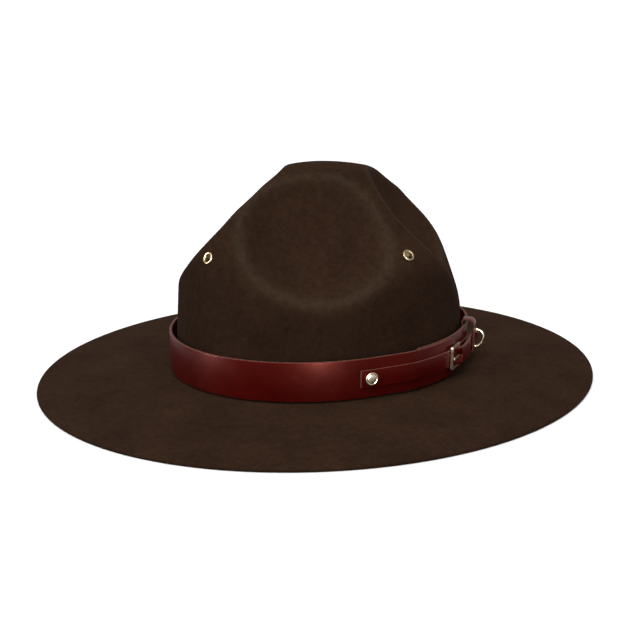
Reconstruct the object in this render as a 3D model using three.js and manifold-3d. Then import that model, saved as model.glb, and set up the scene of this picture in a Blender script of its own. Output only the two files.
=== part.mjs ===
// A campaign hat: a stiff felt crown with four dents, a wide flat brim, and a leather band
// with a small buckled strap, a stud, a keeper loop and a swinging ring on the wearer's left.
// Millimetres, +Z up. The brim's edge rests on z = 0 and the front of the hat points to -Y.

import * as THREE from 'three';
import { mergeVertices } from 'three/addons/utils/BufferGeometryUtils.js';
import Module from 'manifold-3d';

// Felt
const feltThickness = 2.5;
const crownHalfLength = 100.9;       // outside of the crown's foot, front to back
const crownHalfWidth = 86.8;         // outside of the crown's foot, side to side
const crownTaper = 0.06;             // how much the wall leans in, per millimetre of height
const crownHeight = 135.9;           // top of the crown above the resting plane
const shoulderHeight = 79.8;         // where the upright wall would meet the slope
const plateauHalfLength = 56.5;      // where the slope would meet the top
const plateauHalfWidth = 26.1;
const plateauRadius = 165;           // radius of the domed top
const shoulderRound = 10;            // widths over which two surfaces melt together
const plateauRound = 8;
const faceRound = 8;
const bowlRound = 5;
const flareRadius = 5;               // round foot where the crown turns into the brim

// Dents: each is a ball pressed into the crown, its centre in the upright plane that stands
// `turn` degrees from the front (end -1) or from the back (end 1). In that plane the ball passes
// through a low and a high point, each given as reach and height. Reaches and radii are shares of
// the mean half width of the crown's foot, heights are shares of the crown's height. The faces are
// nearly flat and leave the four ridges, and each has a round bowl pressed into it.
const faces = [
  { end: -1, turn: 52, low: [0.914, 0.503], high: [0.32, 0.978], radius: 2.14 },
  { end: 1, turn: 46, low: [0.892, 0.48], high: [0.641, 0.998], radius: 1.71 },
];
const bowls = [
  { end: -1, turn: 48.5, low: [0.8, 0.527], high: [0.314, 0.907], radius: 1.02 },
  { end: 1, turn: 45, low: [0.851, 0.532], high: [0.339, 0.93], radius: 1.02 },
];

// Brim
const brimHalfLength = 190;
const brimHalfWidth = 171.4;
const brimRise = 8.2;                // top of the brim beside the crown, above the resting plane
const brimCurve = 0.5;               // share of the droop that grows with the square of the way out
const brimEdgeRound = 0.8;
const brimRestWidth = 5;             // flat ring under the edge, which the hat rests on
const brimRestBlend = 9;             // width over which that ring meets the sloping underside

// Wide band
const pieceGap = 0.3;                // clearance between pieces that touch
const bandWidth = 24.2;
const bandThickness = 1.8;
const bandStandoff = 1.7;            // from the crown's foot to the band's inner face
const bandLapStart = 140;            // arc lengths are measured from the front, to the wearer's left
const bandLapLength = 37;
const bandLapRamp = 25;              // length over which the outer end climbs over the inner end
const lapMargin = 2;                 // flat stretch before the inner end
const bandTipRound = 6;

// Narrow straps
const strapWidth = 10.8;
const billetThickness = 1.3;
const billetStart = 99;
const studSetback = 6.6;             // from the strap's square end to the stud's centre
const chapeThickness = 1;
const chapeWidth = 9.2;
const slopeMargin = 1;               // flat stretch beside a bar or the keeper, where a slope ends
const billetTail = 0.5;              // billet's tip beyond the keeper
const billetTipLength = 5;

// Stud
const studHeadRadius = 4;
const studHeadHeight = 1.4;
const studPostRadius = 1.5;
const studBackRadius = 3.4;
const studBackThickness = 0.8;
const studHeadShape = [              // shares of the head's radius and height, from its underside up
  { radius: 0.95, height: 0 },
  { radius: 1, height: 0.35 },
  { radius: 0.86, height: 0.8 },
  { radius: 0.5, height: 1 },
  { radius: 0, height: 1 },
];

// Buckle
const buckleFrontBar = 167.4;        // arc length of the front bar's centre line
const buckleLength = 12.6;           // from the front bar's centre line to the heel bar's
const buckleHeight = 14.6;
const buckleBarWidth = 1.6;
const buckleThickness = 1.5;
const heelBarRadius = 0.7;
const heelBarStand = 0.6;            // room under the chape's fold, for the frame to clear the lap
const tongueWidth = 1.8;
const tongueThickness = 1.1;
const tongueEyeWall = 0.8;
const tongueTipTaper = 0.7;          // thickness left at the tip
const tongueSlotLength = 5.6;        // slot in the billet that the tongue comes through
const tongueSlotPlace = 0.6;         // its centre, as a share of the way from the front bar to the heel bar
const buckleCorner = 0.8;

// Keeper
const keeperSetback = 24.5;          // from the heel bar to the keeper's near edge
const keeperWidth = 8;
const keeperThickness = 1.1;
const keeperRise = 2.2;              // from the band's top edge up to the keeper's inner face
const keeperTuck = 14;               // how far the keeper's upper end reaches down behind the band
const keeperCornerRadius = 1.4;      // where it bends over the band and in under the straps
const keeperArchRadius = 4.5;        // where it turns down outside the straps

// Ring
const ringWireRadius = 0.85;
const ringBarLength = 11.6;          // between the ring's corners, along the bar
const ringReach = 6.4;               // from the bar's centre line to the far side of the bow
const ringSquareness = 0.6;          // 1 is half an ellipse, less is squarer
const ringClearance = 0.4;           // between the ring's bar and the leather folded round it
const ringSetback = 4.6;             // from the keeper's far edge to the bar
const ringLean = 18;                 // degrees that the bar leans out at its top
const ringSwing = 88;                // degrees that the bow stands out from the band

// Eyelets
const eyeletHeight = 88.5;
const eyeletTurn = -2;               // degrees that the eyelets stand beside the ridges
const eyeletHoleRadius = 2.4;
const eyeletBarrelRadius = 2.9;
const eyeletFlangeRadius = 3.8;
const eyeletFlangeThickness = 0.7;

// Fineness of the faceted surfaces
const feltColumns = 64;
const crownRows = 18;
const crownRowGrading = 1.2;         // over 1 puts the rows closer together low on the crown
const bandStep = 7.5;
const strapStep = 5;
const slopeStep = 2;
const tipShares = [0.6, 0.3, 0.12, 0];
const roundSides = 12;
const foldSteps = 6;
const curveSteps = 4;
const bowSteps = 14;
const wireSides = 8;

const wasm = await Module();
wasm.setup();

const radians = THREE.MathUtils.degToRad;
const lerp = THREE.MathUtils.lerp;
const smoothstep = THREE.MathUtils.smoothstep;

const feltMaterial = new THREE.MeshStandardMaterial({ color: 0x302418, roughness: 0.95, metalness: 0 });
const leatherMaterial = new THREE.MeshStandardMaterial({ color: 0x4e120c, roughness: 0.35, metalness: 0 });
const brassMaterial = new THREE.MeshStandardMaterial({ color: 0xb8a782, roughness: 0.3, metalness: 1 });

const hat = new THREE.Group();

function addPiece(name, geometry, material, parent = hat) {
  const mesh = new THREE.Mesh(geometry, material);
  mesh.name = name;
  parent.add(mesh);
  return mesh;
}

// Solids from rings of points

function geometryFrom(points, triangles) {
  const geometry = new THREE.BufferGeometry();
  geometry.setAttribute('position', new THREE.Float32BufferAttribute(points.flatMap((p) => p.toArray()), 3));
  geometry.setIndex(triangles);
  return geometry;
}

// Skins a row of rings, each with the same number of points. `start` and `end` are the points
// that close the two ends; with neither, the last ring joins the first. `miss` says how far a point
// is from the true surface near a ring, and each cell is folded along the diagonal that misses less.
function skin(rings, start, end, miss = () => 0) {
  const points = rings.flat();
  const count = rings[0].length;
  const triangles = [];
  const spans = start ? rings.length - 1 : rings.length;
  for (let row = 0; row < spans; row++) {
    const near = row * count;
    const far = ((row + 1) % rings.length) * count;
    for (let i = 0; i < count; i++) {
      const j = (i + 1) % count;
      const straight = miss(row, points[near + i].clone().lerp(points[far + j], 0.5));
      const crossed = miss(row, points[near + j].clone().lerp(points[far + i], 0.5));
      if (crossed < straight) {
        triangles.push(near + i, near + j, far + i);
        triangles.push(near + j, far + j, far + i);
      } else {
        triangles.push(near + i, near + j, far + j);
        triangles.push(near + i, far + j, far + i);
      }
    }
  }
  if (start) {
    const last = (rings.length - 1) * count;
    points.push(start, end);
    for (let i = 0; i < count; i++) {
      const j = (i + 1) % count;
      triangles.push(points.length - 2, j, i);
      triangles.push(points.length - 1, last + i, last + j);
    }
  }
  return geometryFrom(points, triangles);
}

function centre(ring) {
  const sum = ring.reduce((total, point) => total.add(point), new THREE.Vector3());
  return sum.divideScalar(ring.length);
}

function rod(rings) {
  return skin(rings, centre(rings[0]), centre(rings.at(-1)));
}

// Cuts and joins

function solidOf(geometry) {
  const bare = geometry.clone();
  bare.deleteAttribute('normal');
  bare.deleteAttribute('uv');
  const merged = mergeVertices(bare, 1e-5);
  return new wasm.Manifold(new wasm.Mesh({
    numProp: 3,
    vertProperties: new Float32Array(merged.attributes.position.array),
    triVerts: new Uint32Array(merged.index.array),
  }));
}

function geometryOf(solid) {
  const mesh = solid.getMesh();
  const geometry = new THREE.BufferGeometry();
  geometry.setAttribute('position', new THREE.Float32BufferAttribute(mesh.vertProperties, 3));
  geometry.setIndex(Array.from(mesh.triVerts));
  return geometry;
}

function cut(geometry, ...tools) {
  return geometryOf(tools.reduce((solid, tool) => solid.subtract(solidOf(tool)), solidOf(geometry)));
}

function join(...geometries) {
  return geometryOf(geometries.map(solidOf).reduce((whole, solid) => whole.add(solid)));
}

// The crown's shape, as a field that is zero on the outside of the felt and negative within it

function smoothMax(a, b, width) {
  const overlap = Math.max(width - Math.abs(a - b), 0) / width;
  return Math.max(a, b) + overlap * overlap * width * 0.25;
}

function ovalField(x, y, halfWidth, halfLength) {
  const q = Math.hypot(x / halfWidth, y / halfLength);
  const slope = Math.hypot(x / halfWidth ** 2, y / halfLength ** 2);
  return slope > 0 ? ((q - 1) * q) / slope : -halfWidth;
}

function wallInset(z) {
  return crownTaper * (z - brimRise);
}

function blockField(x, y, z) {
  const inset = wallInset(z);
  const wall = ovalField(x, y, crownHalfWidth - inset, crownHalfLength - inset);
  const rise = THREE.MathUtils.clamp((z - shoulderHeight) / (crownHeight - shoulderHeight), -1, 1);
  const lengthIn = crownHalfLength - plateauHalfLength;
  const widthIn = crownHalfWidth - plateauHalfWidth;
  const steepness = (lengthIn + widthIn) / 2 / (crownHeight - shoulderHeight);
  const slope = ovalField(x, y, crownHalfWidth - widthIn * rise, crownHalfLength - lengthIn * rise)
    / Math.hypot(1, steepness);
  const top = z - crownHeight + (x * x + y * y) / (2 * plateauRadius);
  return smoothMax(smoothMax(wall, slope, shoulderRound), top, plateauRound);
}

function dentBall(dent, side) {
  const meanRadius = Math.sqrt(crownHalfLength * crownHalfWidth);
  const sizes = new THREE.Vector2(meanRadius, crownHeight);
  const low = new THREE.Vector2(...dent.low).multiply(sizes);
  const high = new THREE.Vector2(...dent.high).multiply(sizes);
  const radius = dent.radius * meanRadius;
  const chord = high.clone().sub(low);
  const outward = new THREE.Vector2(chord.y, -chord.x).normalize();
  const stand = Math.sqrt(radius ** 2 - (chord.length() / 2) ** 2);
  const middle = low.lerp(high, 0.5).addScaledVector(outward, stand);
  const across = side * middle.x * Math.sin(radians(dent.turn));
  const lengthwise = dent.end * middle.x * Math.cos(radians(dent.turn));
  return { centre: new THREE.Vector3(across, lengthwise, middle.y), radius };
}

const ballsOf = (dents) => dents.flatMap((dent) => [dentBall(dent, -1), dentBall(dent, 1)]);
const faceBalls = ballsOf(faces);
const bowlBalls = ballsOf(bowls);

function pressed(field, balls, point, round) {
  return balls.reduce(
    (deepest, ball) => smoothMax(deepest, ball.radius - point.distanceTo(ball.centre), round),
    field,
  );
}

function crownField(point) {
  const faced = pressed(blockField(point.x, point.y, point.z), faceBalls, point, faceRound);
  return pressed(faced, bowlBalls, point, bowlRound);
}

// The point where a ray from `from` along the unit vector `along` is `depth` below the felt's outside
function castToFelt(from, along, depth) {
  const halvings = 40;
  let near = 0;
  let far = brimHalfLength + crownHeight;
  for (let i = 0; i < halvings; i++) {
    const middle = (near + far) / 2;
    if (crownField(from.clone().addScaledVector(along, middle)) < -depth) near = middle;
    else far = middle;
  }
  return from.clone().addScaledVector(along, near);
}

function feltNormal(point) {
  const step = 0.2;
  const slopeAlong = (axis) => {
    const shift = new THREE.Vector3().setComponent(axis, step);
    return crownField(point.clone().add(shift)) - crownField(point.clone().sub(shift));
  };
  return new THREE.Vector3(slopeAlong(0), slopeAlong(1), slopeAlong(2)).normalize();
}

// Felt body: one closed surface from the crown's top, down the outside, round the brim's edge
// and back up the inside

function ovalPoint(turn, halfWidth, halfLength, z) {
  return new THREE.Vector3(halfWidth * Math.sin(turn), -halfLength * Math.cos(turn), z);
}

const columnTurns = Array.from({ length: feltColumns }, (_, i) => (i / feltColumns) * 2 * Math.PI);

function ovalRing(halfWidth, halfLength, z) {
  return columnTurns.map((turn) => ovalPoint(turn, halfWidth, halfLength, z));
}

// Height of the brim's top at a share of the way from the crown's foot to the edge
function brimTop(share) {
  const droop = (1 - brimCurve) * share + brimCurve * share ** 2;
  return brimRise - (brimRise - feltThickness) * droop;
}

function feltBody() {
  const coreHeight = shoulderHeight / 2;
  const core = new THREE.Vector3(0, 0, coreHeight);
  const wallRows = [1, 0.5];
  const flareRows = [0, 0.25, 0.5, 0.75, 1];
  const brimRows = [0.25, 0.5, 0.75];

  // The ring where rays that leave the core at `elevation` come within `depth` of the outside
  function crownRing(elevation, depth) {
    return columnTurns.map((turn) => {
      const foot = ovalPoint(turn, crownHalfWidth, crownHalfLength, 0).normalize();
      const along = foot.multiplyScalar(Math.cos(elevation)).setZ(Math.sin(elevation));
      return castToFelt(core, along, depth);
    });
  }

  // A ring of the wall at height z, moved out from the crown's outside by `out`
  function wallRing(z, out) {
    const inset = wallInset(z);
    return ovalRing(crownHalfWidth - inset + out, crownHalfLength - inset + out, z);
  }

  function flareRing(share, radius, bottom, out) {
    const angle = (share * Math.PI) / 2;
    return wallRing(bottom + radius * (1 - Math.sin(angle)), out + radius * (1 - Math.cos(angle)));
  }

  // A ring at a share of the way from the end of the flare to the edge
  function brimRing(share, z) {
    return ovalRing(
      lerp(crownHalfWidth + flareRadius, brimHalfWidth, share),
      lerp(crownHalfLength + flareRadius, brimHalfLength, share),
      z,
    );
  }

  const brimWidth = brimHalfLength - crownHalfLength - flareRadius;
  const edgeShare = 1 - brimEdgeRound / brimWidth;
  const restShare = 1 - brimRestWidth / brimWidth;
  const blendShare = 1 - (brimRestWidth + brimRestBlend) / brimWidth;
  const innerFlare = flareRadius + feltThickness;
  const elevations = Array.from({ length: crownRows }, (_, i) => {
    const share = (i + 1) / (crownRows + 1);
    return share ** crownRowGrading * (Math.PI / 2);
  });
  const flareTop = brimRise + flareRadius;

  const outside = [
    ...elevations.toReversed().map((elevation) => crownRing(elevation, 0)),
    ...wallRows.map((share) => wallRing(lerp(flareTop, coreHeight, share), 0)),
    ...flareRows.map((share) => flareRing(share, flareRadius, brimRise, 0)),
    ...brimRows.map((share) => brimRing(share, brimTop(share))),
    brimRing(edgeShare, brimTop(edgeShare)),
    brimRing(1, brimTop(1) / 2),
    brimRing(edgeShare, 0),
  ];
  const inside = [
    brimRing(restShare, 0),
    brimRing(blendShare, brimTop(blendShare) - feltThickness),
    ...brimRows.slice(0, 2).toReversed().map((share) => brimRing(share, brimTop(share) - feltThickness)),
    ...flareRows.toReversed()
      .map((share) => flareRing(share, innerFlare, brimRise - feltThickness, -feltThickness)),
    ...wallRows.toReversed().map((share) => wallRing(lerp(flareTop, coreHeight, share), -feltThickness)),
    ...elevations.map((elevation) => crownRing(elevation, feltThickness)),
  ];
  const up = new THREE.Vector3(0, 0, 1);
  const rings = [...outside, ...inside].map((ring) => ring.toReversed());
  const miss = (row, point) => {
    if (row < crownRows) return Math.abs(crownField(point));
    return row >= rings.length - crownRows - 1 ? Math.abs(crownField(point) + feltThickness) : 0;
  };
  return skin(rings, castToFelt(core, up, 0), castToFelt(core, up, feltThickness), miss);
}

// Eyelets stand beside the crests of the four ridges. Each place has the felt's outer point and its outward normal.

function eyeletPlace(ridge) {
  const turn = radians(ridge + eyeletTurn);
  const along = new THREE.Vector3(Math.sin(turn), -Math.cos(turn), 0);
  const outer = castToFelt(new THREE.Vector3(0, 0, eyeletHeight), along, 0);
  const matrix = new THREE.Matrix4();
  const normal = feltNormal(outer);
  const quaternion = new THREE.Quaternion().setFromUnitVectors(new THREE.Vector3(0, 0, 1), normal);
  return matrix.compose(outer, quaternion, new THREE.Vector3(1, 1, 1));
}

const eyeletPlaces = {
  eyelet_front: eyeletPlace(0),
  eyelet_left: eyeletPlace(90),
  eyelet_rear: eyeletPlace(180),
  eyelet_right: eyeletPlace(270),
};

// Turned piece about the z axis, from a closed profile of [radius, height] points
function turned(profile, sides) {
  const points = [...profile, profile[0]].map(([radius, height]) => new THREE.Vector2(radius, height));
  return new THREE.LatheGeometry(points, sides).rotateX(Math.PI / 2);
}

// Heights along the eyelet's axis of the highest felt outside and the lowest felt inside, under
// its flanges
function feltUnderFlanges(felt, place) {
  const probe = new THREE.Mesh(felt, new THREE.MeshStandardMaterial({ side: THREE.DoubleSide }));
  const origin = new THREE.Vector3().setFromMatrixPosition(place);
  const axis = new THREE.Vector3().setFromMatrixColumn(place, 2);
  const heights = { outside: [], inside: [] };
  for (const radius of [eyeletBarrelRadius, eyeletFlangeRadius]) {
    for (let i = 0; i < roundSides; i++) {
      const angle = (i / roundSides) * 2 * Math.PI;
      const start = new THREE.Vector3(radius * Math.cos(angle), radius * Math.sin(angle), eyeletFlangeRadius)
        .applyMatrix4(place);
      const hits = new THREE.Raycaster(start, axis.clone().negate()).intersectObject(probe);
      heights.outside.push(hits[0].point.sub(origin).dot(axis));
      heights.inside.push(hits[1].point.sub(origin).dot(axis));
    }
  }
  return { top: Math.max(...heights.outside), bottom: Math.min(...heights.inside) };
}

function eyeletGeometry(felt, place) {
  const under = feltUnderFlanges(felt, place);
  const top = under.top + pieceGap;
  const bottom = under.bottom - pieceGap;
  const rim = (eyeletBarrelRadius + eyeletFlangeRadius) / 2;
  return turned([
    [eyeletHoleRadius, bottom - eyeletFlangeThickness],
    [rim, bottom - eyeletFlangeThickness],
    [eyeletFlangeRadius, bottom],
    [eyeletBarrelRadius, bottom],
    [eyeletBarrelRadius, top],
    [eyeletFlangeRadius, top],
    [rim, top + eyeletFlangeThickness],
    [eyeletHoleRadius, top + eyeletFlangeThickness],
  ], roundSides);
}

const eyeletCutters = Object.values(eyeletPlaces).map((place) => {
  const radius = eyeletBarrelRadius + pieceGap;
  const depth = feltThickness * 4;
  return new THREE.CylinderGeometry(radius, radius, depth, roundSides)
    .rotateX(Math.PI / 2)
    .applyMatrix4(place);
});

const wholeFelt = feltBody();
addPiece('felt_body', cut(wholeFelt, ...eyeletCutters), feltMaterial);
for (const [name, place] of Object.entries(eyeletPlaces)) {
  const eyelet = addPiece(name, eyeletGeometry(wholeFelt, place), brassMaterial);
  eyelet.applyMatrix4(place);
}

// Places on the band: `arc` runs round the crown's foot from the front towards the wearer's left,
// `out` is the distance from the crown's foot and `z` the height

const arcTable = (() => {
  const steps = 2880;
  const table = [0];
  let last = ovalPoint(0, crownHalfWidth, crownHalfLength, 0);
  for (let i = 1; i <= steps; i++) {
    const next = ovalPoint((i / steps) * 2 * Math.PI, crownHalfWidth, crownHalfLength, 0);
    table.push(table.at(-1) + next.distanceTo(last));
    last = next;
  }
  return table;
})();
const footLength = arcTable.at(-1);

function turnAt(arc) {
  const laps = Math.floor(arc / footLength);
  const rest = arc - laps * footLength;
  let low = 0;
  let high = arcTable.length - 1;
  while (high - low > 1) {
    const middle = (low + high) >> 1;
    if (arcTable[middle] <= rest) low = middle;
    else high = middle;
  }
  const share = (rest - arcTable[low]) / (arcTable[high] - arcTable[low]);
  return ((low + share) / (arcTable.length - 1)) * 2 * Math.PI;
}

function outwardAt(arc) {
  const turn = turnAt(arc);
  return new THREE.Vector3(crownHalfLength * Math.sin(turn), -crownHalfWidth * Math.cos(turn), 0).normalize();
}

function bandPoint(arc, out, z) {
  return ovalPoint(turnAt(arc), crownHalfWidth, crownHalfLength, z).addScaledVector(outwardAt(arc), out);
}

// Frame with x along the band, y up and z outward
function bandFrame(arc, out, z) {
  const outward = outwardAt(arc);
  const up = new THREE.Vector3(0, 0, 1);
  const along = new THREE.Vector3().crossVectors(up, outward);
  return new THREE.Matrix4().makeBasis(along, up, outward).setPosition(bandPoint(arc, out, z));
}

// The band stands on the crown's flare: its lower inner edge is one gap away from the round foot
const bandLift = flareRadius - Math.sqrt((flareRadius - pieceGap) ** 2 - (flareRadius - bandStandoff) ** 2);
const bandBottom = brimRise + bandLift;
const bandTop = bandBottom + bandWidth;
const strapHeight = (bandBottom + bandTop) / 2;
const lapStep = bandThickness + pieceGap;
const lapEnd = bandLapStart + bandLapLength;

// A strip along the band's middle, from sections with an inner and an outer face and half a height
function strip(sections) {
  return rod(sections.map(({ arc, inner, outer, half }) => [
    bandPoint(arc, inner, strapHeight - half),
    bandPoint(arc, inner, strapHeight + half),
    bandPoint(arc, outer, strapHeight + half),
    bandPoint(arc, outer, strapHeight - half),
  ]));
}

function steps(from, to, size) {
  const count = Math.max(1, Math.round((to - from) / size));
  return Array.from({ length: count + 1 }, (_, i) => lerp(from, to, i / count));
}

// Half height of a strip near a tip at `end`, where the corners are rounded over `length`
function tipHalf(arc, end, length, halfHeight) {
  const roundestTip = 0.9;
  const away = THREE.MathUtils.clamp((end - arc) / length, 0, 1);
  const corner = Math.min(length, halfHeight * roundestTip);
  return halfHeight - corner * (1 - Math.sqrt(1 - (1 - away) ** 2));
}

// Wide band: once round and lapped over its own inner end on the wearer's left
function bandInner(arc) {
  const climbEnd = footLength + bandLapStart - lapMargin;
  return bandStandoff + lapStep * smoothstep(arc, climbEnd - bandLapRamp, climbEnd);
}

function hatBand() {
  const end = footLength + lapEnd;
  const tip = tipShares.map((share) => end - bandTipRound * share);
  const arcs = [...steps(bandLapStart, end - bandTipRound, bandStep), ...tip];
  return strip(arcs.map((arc) => {
    const half = tipHalf(arc, end, bandTipRound, bandWidth / 2);
    const inner = bandInner(arc);
    return { arc, inner, outer: inner + bandThickness, half };
  }));
}

// The lowest that a strap can lie at `arc`, over the band's outermost layer
function strapSeat(arc) {
  const climbEnd = bandLapStart - lapMargin;
  const up = arc < lapEnd ? smoothstep(arc, climbEnd - bandLapRamp, climbEnd) : 0;
  return bandStandoff + bandThickness + pieceGap + lapStep * up;
}

// Buckle levels, out from the crown's foot
const heelBarArc = buckleFrontBar + buckleLength;
const heelBarOut = strapSeat(heelBarArc) + heelBarStand + chapeThickness + pieceGap + heelBarRadius;
const chapeFoldHalf = heelBarRadius + pieceGap + chapeThickness;
const billetOverHeel = heelBarOut + chapeFoldHalf + pieceGap;
const frontBarOut = strapSeat(buckleFrontBar) + billetThickness + pieceGap + buckleThickness / 2;
const keeperStart = heelBarArc + keeperSetback;
const keeperEnd = keeperStart + keeperWidth;

// Inner face of the billet: on the band, up over the heel bar and down again to the keeper
function billetInner(arc) {
  const rise = smoothstep(arc, buckleFrontBar + buckleBarWidth, heelBarArc - slopeMargin);
  const fall = smoothstep(arc, heelBarArc + chapeFoldHalf, keeperStart - slopeMargin);
  const overChape = strapSeat(arc) + 2 * (chapeThickness + pieceGap);
  if (arc > heelBarArc) return lerp(billetOverHeel, overChape, fall);
  return lerp(strapSeat(Math.min(arc, buckleFrontBar)), billetOverHeel, rise);
}

const studArc = billetStart + studSetback;
const billetEnd = keeperEnd + billetTail;

function billetStrap() {
  const tip = tipShares.map((share) => billetEnd - billetTipLength * share);
  const arcs = [
    ...steps(billetStart, buckleFrontBar, strapStep),
    ...steps(buckleFrontBar + slopeStep, keeperStart, slopeStep),
    ...steps(keeperStart + strapStep, billetEnd - billetTipLength, strapStep),
    ...tip,
  ];
  return strip(arcs.map((arc) => {
    const half = tipHalf(arc, billetEnd, billetTipLength, strapWidth / 2);
    const inner = billetInner(arc);
    return { arc, inner, outer: inner + billetThickness, half };
  }));
}

// Buckle's own plane: origin on the front bar, x to the heel bar, y up and z outward
const frontBarPoint = bandPoint(buckleFrontBar, frontBarOut, strapHeight);
const heelBarPoint = bandPoint(heelBarArc, heelBarOut, strapHeight);
const barSpacing = frontBarPoint.distanceTo(heelBarPoint);
const bucklePlace = (() => {
  const along = heelBarPoint.clone().sub(frontBarPoint).normalize();
  const up = new THREE.Vector3(0, 0, 1);
  const outward = new THREE.Vector3().crossVectors(along, up);
  return new THREE.Matrix4().makeBasis(along, up, outward).setPosition(frontBarPoint);
})();

function buckleFrame() {
  const halfHeight = buckleHeight / 2;
  const innerHalf = halfHeight - buckleBarWidth;
  const front = -buckleBarWidth / 2;
  const heel = barSpacing + heelBarRadius;
  const outline = new THREE.Shape([
    [heel, -halfHeight],
    [heel, -innerHalf],
    [buckleBarWidth / 2, -innerHalf],
    [buckleBarWidth / 2, innerHalf],
    [heel, innerHalf],
    [heel, halfHeight],
    [front + buckleCorner, halfHeight],
    [front, halfHeight - buckleCorner],
    [front, -halfHeight + buckleCorner],
    [front + buckleCorner, -halfHeight],
  ].map(([x, y]) => new THREE.Vector2(x, y)));
  const sides = new THREE.ExtrudeGeometry(outline, { depth: buckleThickness, bevelEnabled: false })
    .translate(0, 0, -buckleThickness / 2);
  const barLength = buckleHeight - buckleBarWidth;
  const heelBar = new THREE.CylinderGeometry(heelBarRadius, heelBarRadius, barLength, roundSides)
    .translate(barSpacing, 0, 0);
  return join(sides, heelBar);
}

// The tongue turns on the heel bar, comes up through the billet and rests on the front bar
const tongueEyeRadius = heelBarRadius + pieceGap + tongueEyeWall;
const tongueTipHeight = buckleThickness / 2 + pieceGap;

function buckleTongue() {
  const shank = new THREE.Shape([
    [barSpacing, tongueEyeRadius - tongueThickness],
    [barSpacing, tongueEyeRadius],
    [buckleBarWidth, tongueTipHeight + tongueThickness],
    [-buckleBarWidth / 2, tongueTipHeight + tongueThickness * tongueTipTaper],
    [-buckleBarWidth / 2, tongueTipHeight],
    [buckleBarWidth, tongueTipHeight],
  ].map(([x, z]) => new THREE.Vector2(x, z)));
  const boreRadius = heelBarRadius + pieceGap;
  const eye = turned([
    [boreRadius, -tongueWidth / 2],
    [tongueEyeRadius, -tongueWidth / 2],
    [tongueEyeRadius, tongueWidth / 2],
    [boreRadius, tongueWidth / 2],
  ], roundSides).translate(barSpacing, 0, 0);
  const blade = new THREE.ExtrudeGeometry(shank, { depth: tongueWidth, bevelEnabled: false })
    .translate(0, 0, -tongueWidth / 2);
  const bore = new THREE.CylinderGeometry(boreRadius, boreRadius, buckleHeight, roundSides)
    .rotateX(Math.PI / 2)
    .translate(barSpacing, 0, 0);
  return cut(join(eye, blade), bore).rotateX(Math.PI / 2);
}

// Slot in the billet for the tongue, and hole for the stud. A cutter as deep as the band is wide
// goes through every layer of leather.
const tongueSlot = new THREE.BoxGeometry(tongueSlotLength, tongueWidth + 2 * pieceGap, bandWidth)
  .translate(barSpacing * tongueSlotPlace, 0, 0)
  .applyMatrix4(bucklePlace);

const postHoleRadius = studPostRadius + pieceGap;
const postHole = new THREE.CylinderGeometry(postHoleRadius, postHoleRadius, bandWidth, roundSides)
  .rotateX(Math.PI / 2)
  .applyMatrix4(bandFrame(studArc, bandStandoff, strapHeight));

addPiece('hat_band', cut(hatBand(), postHole), leatherMaterial);
addPiece('billet_strap', cut(billetStrap(), postHole, tongueSlot), leatherMaterial);
addPiece('buckle_frame', buckleFrame(), brassMaterial).applyMatrix4(bucklePlace);
addPiece('buckle_tongue', buckleTongue(), brassMaterial).applyMatrix4(bucklePlace);

// Stud: head, post and back in one turned piece
function studGeometry() {
  const back = bandStandoff - pieceGap;
  const head = billetInner(studArc) + billetThickness + pieceGap;
  const profile = [
    [0, back - studBackThickness],
    [studBackRadius, back - studBackThickness],
    [studBackRadius, back],
    [studPostRadius, back],
    [studPostRadius, head],
    ...studHeadShape.map(({ radius, height }) => [studHeadRadius * radius, head + studHeadHeight * height]),
  ].map(([radius, height]) => new THREE.Vector2(radius, height));
  return new THREE.LatheGeometry(profile, roundSides).rotateX(Math.PI / 2);
}

addPiece('stud', studGeometry(), brassMaterial).applyMatrix4(bandFrame(studArc, 0, strapHeight));

// Chape: a strap folded round the heel bar and round the ring's bar, its two layers one on the other
const ringBarArc = keeperEnd + ringSetback;
const ringFoldRadius = ringWireRadius + ringClearance + chapeThickness / 2;
const ringFoldHalf = ringFoldRadius + chapeThickness / 2;
const ringBarOut = strapSeat(ringBarArc)
  + ringFoldHalf * Math.cos(radians(ringLean)) + (chapeWidth / 2) * Math.sin(radians(ringLean));

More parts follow.
